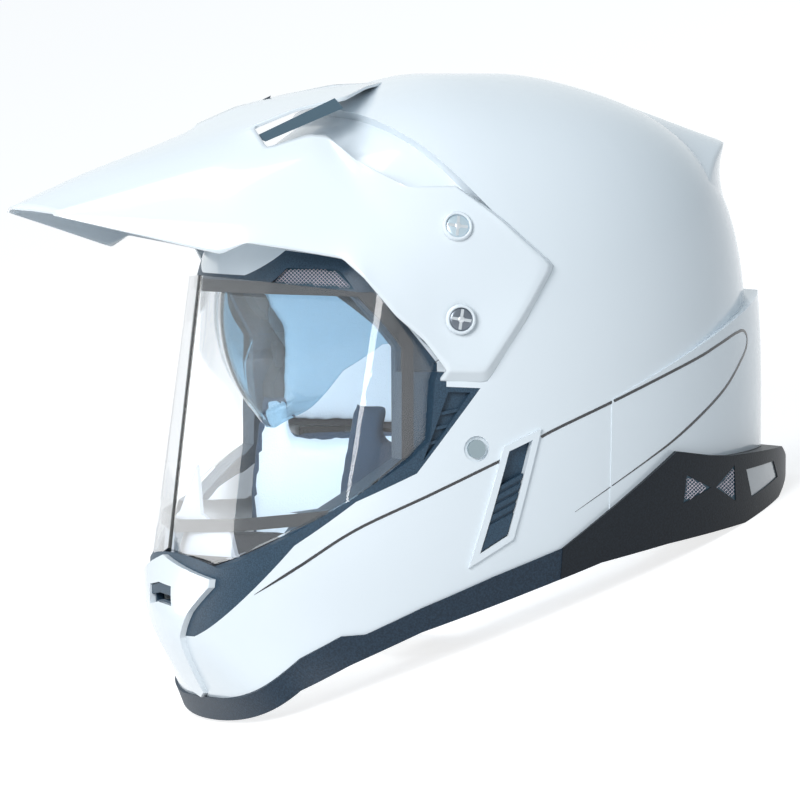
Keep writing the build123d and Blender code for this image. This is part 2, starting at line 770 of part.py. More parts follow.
def make_tongue():
    level = level_share * crown_height - buckle_height / 2 + 1.5 * strap_wall
    tongue = Box(2 * buckle_half - tooth_pitch, strap_width - 2 * strap_wall - 2 * slider_play, strap_wall)
    for tooth in range(tooth_count):
        wedge = Pos(-buckle_half + (tooth + 2) * tooth_pitch, 0, strap_wall / 2) * Box(
            tooth_pitch / 2, strap_width / 2, strap_wall / 2)
        tongue -= wedge
    return Pos(0, rivet_place[0], level) * tongue


tooth_pitch = 4.0
tooth_count = 11

pieces = {
    "outer_shell": make_shell(),
    "rear_spoiler": make_spoiler(),
    "peak": make_peak(),
    "peak_screws_upper": make_screws(0),
    "peak_screws_lower": make_screws(1),
    "visor_shield": make_visor(),
    "visor_pivot_plates": make_pivot_plates(),
    "eyeport_frame": make_frame(),
    "eyeport_seal": make_seal(),
    "brow_vent_mesh": make_brow_mesh(),
    "side_vents": make_side_vents(),
    "chin_vent_cover": make_cover(),
    "chin_vent_shutter": make_shutter(),
    "breath_guard": make_guard(),
    "chin_foam": make_chin_foam(),
    "eps_liner": make_eps(),
    "comfort_liner": make_liner(),
    "neck_roll": make_neck_roll(),
    "cheek_pad_left": make_cheek_pad(),
    "cheek_pad_right": mirror(make_cheek_pad(), about=Plane.YZ),
    "sun_visor": make_sun_visor(),
    "sun_visor_pins": make_sun_pins(),
    "slider_bezel": make_bezel(),
    "slider_track": make_track(),
    "sun_visor_slider": make_slider(),
    "lower_trim": make_trim(),
    "rear_diffuser": make_diffuser(),
    "diffuser_mesh": both_sides(insert(mesh_shares[0]) + insert(mesh_shares[1])),
    "diffuser_reflectors": both_sides(insert(reflector_shares)),
    "chin_strap_left": make_strap(1),
    "chin_strap_right": make_strap(-1),
    "strap_rivets": make_rivets(),
    "buckle_base": make_buckle_base(),
    "buckle_lever": make_buckle_lever(),
    "buckle_tongue": make_tongue(),
}

# Tip the helmet nose up about X until the chin and the back of the rim stand on Z = 0
front_foot, back_foot = rim_line[0], rim_line[-2]
tilt = math.degrees(math.atan2(back_foot[1] - front_foot[1], back_foot[0] - front_foot[0]))
floor_cut = 1.2


def at_rest(piece):
    tipped = Rot(-tilt, 0, 0) * piece
    return Pos(0, 0, rest_height) * tipped


turn = math.radians(tilt)
rest_height = front_foot[0] * math.sin(turn) - front_foot[1] * math.cos(turn) - floor_cut
ground = Pos(0, 0, -overrun) * Box(far_y * 2, far_y * 2, overrun * 2)
standing = {name: at_rest(piece) - ground for name, piece in pieces.items()}
reach = Compound(children=[solid for piece in standing.values() for solid in piece.solids()]).bounding_box()
mid_y = (reach.min.Y + reach.max.Y) / 2
print("rest tilt", tilt, "height", rest_height, "middle", mid_y)

for name, piece in standing.items():
    solids = [Pos(0, -mid_y, 0) * solid for solid in piece.solids()]
    export_step(Compound(children=solids) if len(solids) > 1 else solids[0], "parts/" + name + ".step")
    print(name, len(solids), round(piece.volume / 1000, 1))
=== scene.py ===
import bpy
import bmesh
import json
import math
from mathutils import Matrix, Vector
from mathutils.bvhtree import BVHTree

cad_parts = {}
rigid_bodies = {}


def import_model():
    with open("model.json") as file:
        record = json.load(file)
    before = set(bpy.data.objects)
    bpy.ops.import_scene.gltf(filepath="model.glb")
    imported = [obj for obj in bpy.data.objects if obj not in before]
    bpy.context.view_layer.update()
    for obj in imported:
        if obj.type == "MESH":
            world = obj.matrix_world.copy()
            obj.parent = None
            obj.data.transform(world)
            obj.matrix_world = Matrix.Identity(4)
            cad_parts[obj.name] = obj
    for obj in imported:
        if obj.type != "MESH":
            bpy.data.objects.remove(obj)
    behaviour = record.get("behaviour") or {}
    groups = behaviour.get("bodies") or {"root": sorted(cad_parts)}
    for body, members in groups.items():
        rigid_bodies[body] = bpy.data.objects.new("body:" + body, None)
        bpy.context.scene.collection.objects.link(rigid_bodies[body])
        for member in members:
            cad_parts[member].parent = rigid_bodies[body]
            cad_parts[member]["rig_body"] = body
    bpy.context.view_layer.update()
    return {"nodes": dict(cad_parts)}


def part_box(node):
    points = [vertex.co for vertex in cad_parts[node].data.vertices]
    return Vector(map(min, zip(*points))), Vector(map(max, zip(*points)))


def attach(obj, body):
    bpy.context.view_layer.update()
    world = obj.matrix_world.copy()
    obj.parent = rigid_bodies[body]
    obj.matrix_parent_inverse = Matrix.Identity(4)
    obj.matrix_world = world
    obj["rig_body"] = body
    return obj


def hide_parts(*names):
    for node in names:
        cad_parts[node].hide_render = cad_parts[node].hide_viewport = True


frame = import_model()
bpy.context.scene.view_settings.view_transform = "Standard"

# The studio. The helmet stands nose up on its lower rim, on a pale floor under soft light.
# Places are given as worn, with the wearer's left at +X, the front at -Y and the top at +Z,
# in millimetres, and are then tipped as the helmet stands.
STANDING_TILT = math.radians(21.867638629591532)
STANDING_HEIGHT = 111.31603441634918
MIDDLE_Y = 21.709058409262894
LEAN_COS = math.cos(STANDING_TILT)
LEAN_SIN = math.sin(STANDING_TILT)


def tipped(x, y, z):
    """A direction on the worn helmet, turned as the helmet stands."""
    return Vector((x, y * LEAN_COS + z * LEAN_SIN, z * LEAN_COS - y * LEAN_SIN))


def standing(x, y, z):
    """A place on the worn helmet, in millimetres, moved to where it stands, in metres."""
    return (tipped(x, y, z) + Vector((0, -MIDDLE_Y, STANDING_HEIGHT))) / 1000


VIEW_TURN = math.radians(21)
VIEW_RISE = math.radians(2)
VIEW_AWAY = 8.0
PICTURE_SIDE = 0.400
level = math.cos(VIEW_RISE)
toward = tipped(math.cos(VIEW_TURN) * level, -math.sin(VIEW_TURN) * level, math.sin(VIEW_RISE))
across = (-toward).cross(tipped(0, 0, 1)).normalized()
upward = across.cross(-toward)
lens = bpy.data.cameras.new("studio_camera")
lens.sensor_width = 36
lens.lens = lens.sensor_width * VIEW_AWAY / PICTURE_SIDE
lens.clip_end = 40
camera = bpy.data.objects.new("studio_camera", lens)
eye = standing(0, 0, 0) + toward * VIEW_AWAY
camera.matrix_world = Matrix.Translation(eye) @ Matrix((across, upward, toward)).transposed().to_4x4()
bpy.context.scene.collection.objects.link(camera)
bpy.context.scene.camera = camera


def soft_box(name, worn_way, away, side, power, aim=(0, 0, 0)):
    """A square studio lamp that looks at a place on the helmet."""
    lamp = bpy.data.lights.new(name, "AREA")
    lamp.size = side
    lamp.energy = power
    box = bpy.data.objects.new(name, lamp)
    way = tipped(*worn_way).normalized()
    box.location = standing(*aim) + way * away
    box.rotation_euler = way.to_track_quat("Z", "Y").to_euler()
    box.visible_camera = False
    box.visible_transmission = False
    bpy.context.scene.collection.objects.link(box)


soft_box("near_soft_box", (0.74, -0.8, 0.42), away=2.2, side=1.0, power=36)
soft_box("top_soft_box", (-0.1, -0.5, 1.0), away=2.0, side=1.0, power=8)
soft_box("head_space_fill", (0.9, -0.3, 0.25), away=0.07, side=0.05, power=0.15, aim=(-20, -10, 0))
soft_box("visor_strip_box", (-0.6, -0.8, -0.1), away=2.0, side=0.8, power=9, aim=(28, -105, 0))


def shown_or_lighting(tree, lighting, shown):
    """A strength for the rays that light the helmet, and one where camera, gloss or glass looks."""
    rays = tree.nodes.new("ShaderNodeLightPath")
    looking = rays.outputs["Is Camera Ray"]
    for kind in ("Is Glossy Ray", "Is Transmission Ray"):
        either = tree.nodes.new("ShaderNodeMath")
        either.operation = "MAXIMUM"
        tree.links.new(looking, either.inputs[0])
        tree.links.new(rays.outputs[kind], either.inputs[1])
        looking = either.outputs[0]
    strength = tree.nodes.new("ShaderNodeMapRange")
    strength.inputs["To Min"].default_value = lighting
    strength.inputs["To Max"].default_value = shown
    tree.links.new(looking, strength.inputs["Value"])
    return looking, strength.outputs["Result"]


backdrop = bpy.data.worlds.new("white_studio")
backdrop.use_nodes = True
bpy.context.scene.world = backdrop
wires = backdrop.node_tree
sky = wires.nodes["Background"]
shade = wires.nodes.new("ShaderNodeMix")
shade.data_type = "RGBA"
shade.inputs["A"].default_value = (0.68, 0.86, 1.0, 1)
shade.inputs["B"].default_value = (0.93, 0.98, 1.0, 1)
looked_at, sky_strength = shown_or_lighting(wires, lighting=0.34, shown=1.0)
wires.links.new(looked_at, shade.inputs["Factor"])
wires.links.new(shade.outputs["Result"], sky.inputs["Color"])
wires.links.new(sky_strength, sky.inputs["Strength"])


def shader_of(finish):
    """A finish's main shader."""
    return finish.node_tree.nodes["Principled BSDF"]


def finish_of(name, colour, roughness, sockets=()):
    """A new finish of one colour. Sockets are more of the shader's own settings."""
    finish = bpy.data.materials.new(name)
    finish.use_nodes = True
    shader = shader_of(finish)
    shader.inputs["Base Color"].default_value = (*colour, 1)
    shader.inputs["Roughness"].default_value = roughness
    for socket, value in sockets:
        shader.inputs[socket].default_value = value
    return finish


FLOOR_HALF = 14.0
sheet = bmesh.new()
bmesh.ops.create_grid(sheet, x_segments=1, y_segments=1, size=FLOOR_HALF)
floor_mesh = bpy.data.meshes.new("studio_floor")
sheet.to_mesh(floor_mesh)
sheet.free()
floor = bpy.data.objects.new("studio_floor", floor_mesh)
bpy.context.scene.collection.objects.link(floor)
pale_floor = finish_of("pale_floor", (0.45, 0.45, 0.45), 1.0,
                       [("Specular IOR Level", 0.0), ("Emission Color", (1, 1, 1, 1))])
floor_strength = shown_or_lighting(pale_floor.node_tree, lighting=0.12, shown=0.8)[1]
pale_floor.node_tree.links.new(floor_strength, shader_of(pale_floor).inputs["Emission Strength"])
floor.data.materials.append(pale_floor)


# Outer shell, with the cover over the chin vent and the slider's surround. Moulded in a tough
# thermoplastic and sprayed with a glossy white lacquer, whose coat has a faint orange peel.
# The two small parts are fixed to the shell from inside.
WELD = 1e-5
SEAM_TURN = 24


def grain(finish, scale, height):
    """Fine bumps on a finish. Scale is bumps to the metre and height is in metres."""
    nodes, links = finish.node_tree.nodes, finish.node_tree.links
    place = nodes.new("ShaderNodeTexCoord")
    noise = nodes.new("ShaderNodeTexNoise")
    noise.inputs["Scale"].default_value = scale
    noise.inputs["Detail"].default_value = 2.0
    bump = nodes.new("ShaderNodeBump")
    bump.inputs["Strength"].default_value = 1.0
    bump.inputs["Distance"].default_value = height
    links.new(place.outputs["Object"], noise.inputs["Vector"])
    links.new(noise.outputs["Fac"], bump.inputs["Height"])
    links.new(bump.outputs["Normal"], shader_of(finish).inputs["Normal"])
    return noise


def welded(node):
    """A bmesh of a CAD piece with its loose triangles joined up."""
    mesh = bmesh.new()
    mesh.from_mesh(frame["nodes"][node].data)
    bmesh.ops.remove_doubles(mesh, verts=mesh.verts, dist=WELD)
    return mesh


def soften(mesh, angle):
    """Smooth shading with sharp edges where the faces turn by more than an angle, in degrees."""
    for face in mesh.faces:
        face.smooth = True
    for edge in mesh.edges:
        edge.smooth = len(edge.link_faces) != 2 or edge.calc_face_angle(0) < math.radians(angle)


def show(mesh, name, finish, body, stands_for=()):
    """A finished piece from a bmesh, riding on its body."""
    data = bpy.data.meshes.new(name)
    mesh.to_mesh(data)
    mesh.free()
    data.materials.append(finish)
    piece = bpy.data.objects.new(name, data)
    bpy.context.scene.collection.objects.link(piece)
    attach(piece, body)
    if stands_for:
        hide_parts(*stands_for)
    return piece


def moulding(node, finish):
    """A smoothly shaded copy of a CAD piece, in its finish, that stands for it."""
    mesh = welded(node)
    soften(mesh, SEAM_TURN)
    show(mesh, node + "_moulding", finish, frame["nodes"][node]["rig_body"], (node,))


lacquer = finish_of("white_lacquer", (0.81, 0.875, 0.925), 0.24,
                    [("Coat Weight", 0.7), ("Coat Roughness", 0.03)])
grain(lacquer, 260, 0.000012)
for node in ("outer_shell", "chin_vent_cover", "slider_bezel"):
    moulding(node, lacquer)


# Rear spoiler. A white lip moulded over the back of the crown: it starts flush behind a small
# notch, lifts away to a thin edge, and curls back under to the shell. Bonded and lacquered.
SPOILER_HALF = 72
SPOILER_FADE = 56
SPOILER_SECTIONS = 24
SPOILER_STEPS = 10
START_LINES = (71, 79)
START_BOW = 0.0045
START_SUNK = Vector((0, 0, 0.4))
LIP_HEIGHTS = (122, 113, 104, 88)
LIP_SUNK = Vector((0, 1.2, 0))
FREE_LIP = [(169.5, 129), (166.3, 119), (166, 111)]
LIP_BOW = 0.0062
LIP_DROP = 0.0018
LIP_SLOPE = Vector((0, 0.95, -0.31))
LIP_CREASE = 0.75
ABOVE_SHELL, DOWN = 250, (0, 0, -1)
BEHIND_SHELL, FORWARD = 300, (0, -1, 0)
MOST_DRAWS, DRAW_IN, DRAW_DOWN = 60, 0.97, 2
shell_tree = BVHTree.FromBMesh(welded("outer_shell"))


def worn(place):
    """A place on the standing helmet, in metres, as millimetres on the worn helmet."""
    x, y, z = place[0] * 1000, place[1] * 1000 + MIDDLE_Y, place[2] * 1000 - STANDING_HEIGHT
    return Vector((x, y * LEAN_COS - z * LEAN_SIN, z * LEAN_COS + y * LEAN_SIN))


def onto_shell(x, y, z, way):
    """The place where a worn ray meets the shell, drawn in towards its middle until it does."""
    for draw in range(MOST_DRAWS):
        hit = shell_tree.ray_cast(standing(x, y, z), tipped(*way))[0]
        if hit is not None:
            break
        x, z = x * DRAW_IN, z - (DRAW_DOWN if way == FORWARD else 0)
    return worn(hit)


def spoiler_section(x):
    """The spoiler's outline at one distance from the middle, from its start round to its root."""
    share = min(1, max(0, (SPOILER_HALF - abs(x)) / SPOILER_FADE))
    free = share * share * (3 - 2 * share)
    start, ahead = [onto_shell(x, line + START_BOW * x * x, ABOVE_SHELL, DOWN) - START_SUNK
                    for line in START_LINES]
    back, drop = LIP_BOW * x * x, LIP_DROP * x * x
    lip = [onto_shell(x, BEHIND_SHELL, z - drop * 2, FORWARD) - LIP_SUNK for z in LIP_HEIGHTS]
    free_lip = [Vector((x, y - back, z - drop)) for y, z in FREE_LIP]
    lip[:3] = [a.lerp(b, free) for a, b in zip(lip, free_lip)]
    reach = (lip[0] - start).length / 3
    leave = start + (ahead - start).normalized() * reach
    arrive = lip[0] - LIP_SLOPE * reach
    top = []
    for k in range(SPOILER_STEPS):
        t = k / SPOILER_STEPS
        near_start = start * (1 - t) ** 3 + leave * 3 * t * (1 - t) ** 2
        top.append(near_start + arrive * 3 * t * t * (1 - t) + lip[0] * t ** 3)
    return top + lip


def corners(mesh, places):
    """A mesh's corners at places on the worn helmet."""
    return [mesh.verts.new(standing(*place)) for place in places]


def quilt(mesh, rows):
    """Four-sided faces between each row of corners and the next."""
    for low, high in zip(rows, rows[1:]):
        for k in range(len(low) - 1):
            mesh.faces.new((low[k], low[k + 1], high[k + 1], high[k]))


def face_out(mesh):
    """Turns a sheet's faces outwards, the highest one up, and shades them smooth."""
    bmesh.ops.recalc_face_normals(mesh, faces=mesh.faces)
    if max(mesh.faces, key=lambda face: face.calc_center_median().z).normal.z < 0:
        bmesh.ops.reverse_faces(mesh, faces=mesh.faces)
    for face in mesh.faces:
        face.smooth = True


def round_off(piece, levels):
    """Rounds a piece off by subdivision."""
    rounding = piece.modifiers.new("rounding", "SUBSURF")
    rounding.levels = levels
    rounding.render_levels = levels


spoiler_mesh = bmesh.new()
lip_crease = spoiler_mesh.edges.layers.float.new("crease_edge")
spoiler_rows = [corners(spoiler_mesh, spoiler_section(SPOILER_HALF * (2 * i / SPOILER_SECTIONS - 1)))
                for i in range(SPOILER_SECTIONS + 1)]
quilt(spoiler_mesh, spoiler_rows)
for low, high in zip(spoiler_rows, spoiler_rows[1:]):
    spoiler_mesh.edges.get((low[SPOILER_STEPS], high[SPOILER_STEPS]))[lip_crease] = LIP_CREASE
face_out(spoiler_mesh)
spoiler = show(spoiler_mesh, "spoiler_moulding", lacquer, "helmet", ("rear_spoiler",))
round_off(spoiler, 2)


# Peak. One white moulding: a crowned centre plate over the forehead, side facets that run
# back from its front corners, and a wing on each side with a bevelled border, held by screws.
# It is made as the left half's cage of faces, mirrored, with its hard edges creased.
PEAK_WALL = 0.0013
BEVEL_START = 0.6
BEVEL_FALL = 4.6
PEAK_CREASE = 0.86
FACET_CREASE = 0.45
RIM_CREASE = 0.9
BESIDE_PEAK = 200
peak_tree = BVHTree.FromBMesh(welded("peak"))


def wing_point(y, z, sunk=0.0):
    """A place on the wing's outer face, or sunk under it, in millimetres as worn."""
    hit = peak_tree.ray_cast(standing(BESIDE_PEAK, y, z), Vector((-1, 0, 0)))[0]
    return Vector((worn(hit).x - sunk, y, z))


def mirror_over(mesh):
    """Adds the wearer's right side, a mirror image of the left."""
    left = mesh.verts[:] + mesh.edges[:] + mesh.faces[:]
    right = bmesh.ops.duplicate(mesh, geom=left)["geom"]
    bmesh.ops.scale(mesh, vec=(-1, 1, 1), verts=[v for v in right if isinstance(v, bmesh.types.BMVert)])
    bmesh.ops.reverse_faces(mesh, faces=[f for f in right if isinstance(f, bmesh.types.BMFace)])


side_columns = [
    [(33, -196.3, 96.3), (33.2, -196.3, 95.9), (33.4, -196.3, 95.5), (33.7, -196.2, 95.1), (34, -196, 94.7)],
    [(41.5, -161, 107), (46, -162, 103), (50.5, -163, 98.5), (53.5, -163.5, 94), (57, -161, 85.5)],
    [(50, -126.2, 117.7), (60, -127, 108.5), (68, -128.5, 99.5), (74, -130, 91), (80, -125.4, 76)],
    [(53, -111, 122), (65, -111.5, 113), (76, -112, 103), (83.5, -112.5, 92), (86, -114, 81.7)],
    [(56, -92, 128), (71, -91.5, 119), (83, -91, 106), (91.8, -91.3, 93), (95, -92.1, 78)],
    [(60, -71.9, 134.4), (77, -71, 124), (90, -70, 108), (99.3, -70.4, 91), (105, -70.8, 74.1)],
    [(64, -63.5, 134.0), (83, -61, 120), (97, -59.8, 103), (106.5, -59.4, 85), (113.5, -62.4, 64.5)],
    [(87, -57.5, 122.5), (96.5, -53.2, 111), (105, -50.8, 95), (114, -50.3, 75), (120, -48.2, 46)],
]
side_columns = [[Vector(place) for place in column] for column in side_columns]
wing_columns = [
    [(-36, 109), (-36, 100), (-36, 84), (-37, 62), (-34, 33.5)],
    [(-14, 109.5), (-10, 102), (-8, 78), (-14, 48), (-23.5, 18.8)],
    [(4, 95), (9, 90.5), (31, 70.5), (16, 46), (-4, 18.5)],
]
side_columns += [[wing_point(y, z) for y, z in column] for column in wing_columns]
border_line = [(5, 97), (11.5, 91.5), (35.4, 70), (19, 43), (-1.5, 12.5), (-25.5, 13.5)]
border = [wing_point(-14.5, 110.5, BEVEL_START)] + [wing_point(y, z, BEVEL_FALL) for y, z in border_line]
plate_columns = [
    [(0, -206.1, 98.1), (17, -201.5, 97.6)],
    [(0, -161, 117.3), (24, -161, 115)],
    [(0, -126, 128.6), (34, -126, 125.5)],
    [(0, -111, 133.4), (38, -111, 131.3)],
    [(0, -93, 139.3), (41, -93.5, 138)],
]
plate_rear = [
    [(0, -70, 147), (43, -72, 146.5)],
    [(0, -40, 155.5), (46, -47, 152)],
    [(0, -8.6, 159), (24, -27, 157.5)],
]
cage = bmesh.new()
crease = cage.edges.layers.float.new("crease_edge")
side = [corners(cage, column) for column in side_columns]
plate = [corners(cage, column) + [side[i][0]] for i, column in enumerate(plate_columns)]
rear = [corners(cage, column) for column in plate_rear]
rim = corners(cage, border)
quilt(cage, side)
quilt(cage, plate)
quilt(cage, [plate[-1][:2]] + rear)
wing_front, wing_rear = side[-2], side[-1]
cage.faces.new((wing_front[0], wing_rear[0], rim[1], rim[0]))
for k, (low, high) in enumerate(zip(wing_rear, wing_rear[1:])):
    cage.faces.new((low, high, rim[k + 2], rim[k + 1]))
cage.faces.new((wing_rear[4], wing_front[4], rim[6], rim[5]))
firm_lines = [
    [column[0] for column in side],
    [column[-1] for column in side],
    [wing_front[0]] + wing_rear,
    rim,
    [wing_rear[2], rim[3]],
    [wing_rear[4], rim[5]],
    [wing_front[4], rim[6]],
    [wing_front[0], rim[0]],
    plate[0],
    [plate[-1][1]] + [row[1] for row in rear],
    [rear[-1][1], rear[-1][0]],
    [plate[-1][1], side[4][0]],
    side[0],
]
facet_line = [column[3] for column in side[:4]]
for firmness, lines in ((PEAK_CREASE, firm_lines), (FACET_CREASE, [facet_line])):
    for line in lines:
        for ends in zip(line, line[1:]):
            edge = cage.edges.get(ends)
            if edge is not None:
                edge[crease] = max(edge[crease], firmness)
mirror_over(cage)
bmesh.ops.remove_doubles(cage, verts=cage.verts, dist=WELD)
face_out(cage)
peak = show(cage, "peak_moulding", lacquer, "helmet", ("peak",))
wall = peak.modifiers.new("wall", "SOLIDIFY")
wall.thickness = PEAK_WALL
wall.offset = -1
wall.use_even_offset = True
wall.edge_crease_rim = RIM_CREASE
wall.edge_crease_outer = RIM_CREASE
wall.edge_crease_inner = RIM_CREASE
round_off(peak, 3)


# Painted shade beside the centre plate. A thin dark matt strip, laid just clear of the shell in the
# gap under the plate's side edge, stands in for the shade that falls there; it is no part of the helmet.
GAP_SHADE_STEPS = 10
GAP_SHADE_PARTS = 3
GAP_SHADE_LIFT = 0.5
front_inner, front_outer = Vector((44, -94.5, 132.9)), Vector((50, -90.4, 130.7))
rear_inner, rear_outer = Vector((45, -52, 151.9)), Vector((54, -50.7, 147.1))
# This dark matt finish is the real plastic of the vent meshes further on, and on this strip it is painted
# shade.
vent_black_and_painted_shade = finish_of("vent_black_and_painted_shade", (0.03, 0.075, 0.11), 0.5)
grain(vent_black_and_painted_shade, 1200, 0.00008)
# The strip of painted shade, built row by row over the gap and lifted just off the shell.
gap_shade_sheet = bmesh.new()
gap_shade_rows = []
for i in range(GAP_SHADE_STEPS + 1):
    inner = front_inner.lerp(rear_inner, i / GAP_SHADE_STEPS)
    outer = front_outer.lerp(rear_outer, i / GAP_SHADE_STEPS)
    places = []
    for k in range(GAP_SHADE_PARTS + 1):
        spot = inner.lerp(outer, k / GAP_SHADE_PARTS)
        under = onto_shell(spot.x, spot.y, ABOVE_SHELL, DOWN)
        places.append((spot.x, spot.y, max(spot.z, under.z + GAP_SHADE_LIFT)))
    gap_shade_rows.append(corners(gap_shade_sheet, places))
quilt(gap_shade_sheet, gap_shade_rows)
mirror_over(gap_shade_sheet)
show(gap_shade_sheet, "plate_gap_painted_shade", vent_black_and_painted_shade, "helmet")


# Pinstripes. Thin black lines on both cheeks, laid on the white and sealed under a coat of
# the lacquer. Each keeps its width for most of its way and fades to a point.
STRIPE_WIDTH = 0.0014
STRIPE_LIFT = 0.00012
STRIPE_STEPS = 14
STRIPE_FADE = 5
PICTURE_PIXELS = 800
stripe_ink = finish_of("stripe_ink", (0.012, 0.013, 0.018), 0.25,
                       [("Coat Weight", 0.6), ("Coat Roughness", 0.03)])
grain(stripe_ink, 260, 0.000012)


def sight(u, v):
    """The direction from the camera through a place in the picture, in its pixels."""
    half = PICTURE_PIXELS / 2
    aim = (across * (u - half) + upward * (half - v)) / half * PICTURE_SIDE / 2
    return (aim - toward * VIEW_AWAY).normalized()


def curve_through(points, steps):
    """A smooth line through points, by Catmull-Rom pieces."""
    line = []
    padded_points = [points[0]] + points + [points[-1]]
    for i in range(1, len(padded_points) - 2):
        a, b, c, d = padded_points[i - 1:i + 3]
        for k in range(steps):
            t = k / steps
            line.append(0.5 * (2 * b + (c - a) * t + (2 * a - 5 * b + 4 * c - d) * t * t
                               + (3 * b - a - 3 * c + d) * t ** 3))
    return line + [points[-1]]


def pinstripe(name, places, ends):
    """A flat ribbon on the shell through places in the picture. Ends are its shares of width."""
    hits = []
    for point in curve_through([Vector((u, v, 0)) for u, v in places], STRIPE_STEPS):
        hit, normal = shell_tree.ray_cast(eye, sight(point.x, point.y))[:2]
        if hit is not None:
            hits.append((hit, normal))
    ribbon = bmesh.new()
    rows = []
    for i, (hit, normal) in enumerate(hits):
        ahead = hits[min(i + 1, len(hits) - 1)][0] - hits[max(i - 1, 0)][0]
        beside = ahead.cross(normal).normalized()
        share = i / (len(hits) - 1)
        taper = min(1, ends[0] + share * STRIPE_FADE, ends[1] + (1 - share) * STRIPE_FADE)
        rows.append([ribbon.verts.new(hit + normal * STRIPE_LIFT + beside * STRIPE_WIDTH / 2 * taper * sign)
                     for sign in (-1, 0, 1)])
    quilt(ribbon, rows)
    mirror_over(ribbon)
    for face in ribbon.faces:
        face.smooth = True
    show(ribbon, name, stripe_ink, "helmet")


pinstripe("cheek_pinstripe", [(254, 595), (300, 566), (356, 530), (430, 495), (500, 461)], (0.1, 1))
pinstripe("side_pinstripe", [(541, 437), (560, 427), (620, 398), (692, 361), (718, 345), (736, 333),
                             (744, 331), (747, 341), (742, 358), (722, 392), (683, 432), (645, 462),
                             (575, 512)], (1, 0.1))


# Eye port frame and the small black parts round it: the visor's pivot plates, the side vents,
# the chin shutter, and the sun visor's pins, track and slider. Moulded in nylon with a fine
# spark texture, and screwed or clipped to the shell.
textured_black = finish_of("textured_black", (0.022, 0.055, 0.095), 0.45, [("Specular IOR Level", 0.4)])


def mottle(finish, noise, dark, light):
    """Colour that varies a little with a finish's own grain."""
    ramp = finish.node_tree.nodes.new("ShaderNodeValToRGB")
    ramp.color_ramp.elements[0].position = 0.35
    ramp.color_ramp.elements[1].position = 0.65
    ramp.color_ramp.elements[0].color = (*dark, 1)
    ramp.color_ramp.elements[1].color = (*light, 1)
    finish.node_tree.links.new(noise.outputs["Fac"], ramp.inputs["Fac"])
    finish.node_tree.links.new(ramp.outputs["Color"], shader_of(finish).inputs["Base Color"])


mottle(textured_black, grain(textured_black, 1500, 0.00009), (0.014, 0.036, 0.062), (0.03, 0.068, 0.112))
for node in ("eyeport_frame", "visor_pivot_plates", "side_vents", "chin_vent_shutter", "sun_visor_pins",
             "slider_track", "sun_visor_slider"):
    moulding(node, textured_black)


# Eye port seal. A soft black rubber lip behind the visor that keeps rain out, extruded and
# pushed into the frame's groove.
seal_rubber = finish_of("seal_rubber", (0.018, 0.02, 0.024), 0.6)
grain(seal_rubber, 700, 0.000015)
moulding("eyeport_seal", seal_rubber)


# Peak screws, two on each side. A flat turned head of satin steel with a bright cross, set in
# a raised collar that is moulded on the wing. The lower pair is darker and is the visor's axis.
COLLAR_SECTION = [(5.7, -1.2), (5.9, 0.25), (6.3, 0.55), (6.8, 0.5), (7.4, -0.1), (7.6, -1.2)]
HEAD_SECTION = [(0, 0.1), (4.4, 0.05), (5.0, -0.15), (5.7, -0.5)]
HEAD_STEPS = 48
HEAD_TURN = 35
SEAT_RADIUS = 9
SEAT_TURNS = (0.5, 2.6, 4.7)
BAR_TURN = 0.25
BAR_SIZE = (0.0102, 0.0015, 0.0006)
BAR_EDGE = 0.00015
BAR_LIFT = 0.0002


def lathed(section):
    """A round part spun from its half section, in millimetres."""
    mesh = bmesh.new()
    ring = [mesh.verts.new((x / 1000, 0, z / 1000)) for x, z in section]
    edges = [mesh.edges.new((a, b)) for a, b in zip(ring, ring[1:])]
    bmesh.ops.spin(mesh, geom=ring + edges, cent=(0, 0, 0), axis=(0, 0, 1), angle=2 * math.pi,
                   steps=HEAD_STEPS, use_merge=True)
    return mesh


def crossed_bars():
    """The cross in a screw's head: two thin bars over a low hub, with their edges broken."""
    mesh = bmesh.new()
    for quarter in (0, math.pi / 2):
        bar = bmesh.ops.create_cube(mesh, size=1)["verts"]
        turn = Matrix.Rotation(BAR_TURN + quarter + math.pi / 4, 3, "Z")
        bmesh.ops.scale(mesh, vec=BAR_SIZE, verts=bar)
        bmesh.ops.rotate(mesh, cent=(0, 0, 0), matrix=turn, verts=bar)
    bmesh.ops.create_cone(mesh, cap_ends=True, segments=24, radius1=0.0019, radius2=0.0015, depth=0.0009)
    bmesh.ops.bevel(mesh, geom=mesh.edges[:], offset=BAR_EDGE, offset_type="OFFSET", segments=1,
                    profile=0.5, affect="EDGES", material=-1)
    bmesh.ops.translate(mesh, vec=(0, 0, BAR_LIFT), verts=mesh.verts)
    return mesh


def screw(name, node, head_finish, bar_finish, head_slot):
    """A screw's collar, head and cross, square to the wing, on each side of the peak."""
    low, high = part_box(node)
    spot = worn((high[0], (low[1] + high[1]) / 2, (low[2] + high[2]) / 2))
    around = [wing_point(spot.y + SEAT_RADIUS * math.cos(turn), spot.z + SEAT_RADIUS * math.sin(turn))
              for turn in SEAT_TURNS]
    out = (around[1] - around[0]).cross(around[2] - around[0]).normalized()
    out = out if out.x > 0 else -out
    seat = Vector((sum(place.x for place in around) / 3, spot.y, spot.z))
    turn = tipped(*out).to_track_quat("Z", "Y").to_matrix().to_4x4()
    parts = [("collar", lathed(COLLAR_SECTION), lacquer, "shell_white", ()),
             ("plate", lathed(HEAD_SECTION), head_finish, head_slot, (node,)),
             ("cross", crossed_bars(), bar_finish, head_slot, ())]
    for part, mesh, finish, slot, stands_for in parts:
        bmesh.ops.remove_doubles(mesh, verts=mesh.verts, dist=WELD / 2)
        bmesh.ops.recalc_face_normals(mesh, faces=mesh.faces)
        bmesh.ops.transform(mesh, matrix=Matrix.Translation(standing(*seat)) @ turn, verts=mesh.verts)
        mirror_over(mesh)
        soften(mesh, HEAD_TURN)
        show(mesh, name + "_" + part, finish, "helmet", stands_for)


